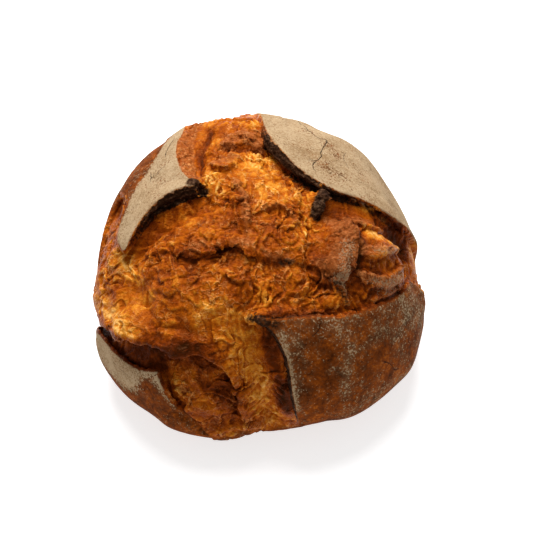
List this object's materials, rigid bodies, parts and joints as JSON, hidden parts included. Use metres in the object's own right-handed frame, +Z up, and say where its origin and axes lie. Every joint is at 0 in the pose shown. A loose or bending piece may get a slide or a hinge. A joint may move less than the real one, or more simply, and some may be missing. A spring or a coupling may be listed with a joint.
{
  "type": "round loaf",
  "caption": "Round country loaf with a thick floured crust, burst open across the top into golden torn crumb between lifted, charred flaps of crust",
  "frame": {"origin": "On the surface that the loaf stands on, below the middle of the loaf's box.", "axes": "+Z up, out of the base. -Y is the front, the side that the picture shows lowest, and +X is to the right of a viewer in front."},
  "size_m": [0.2366, 0.2382, 0.1433],
  "materials": {
    "crust": "baked bread crust, golden brown and torn where it burst, pale with flour on the flaps, nearly black on the highest edges"
  },
  "bodies": {
    "root": {"round_loaf": "crust"}
  },
  "joints": []
}
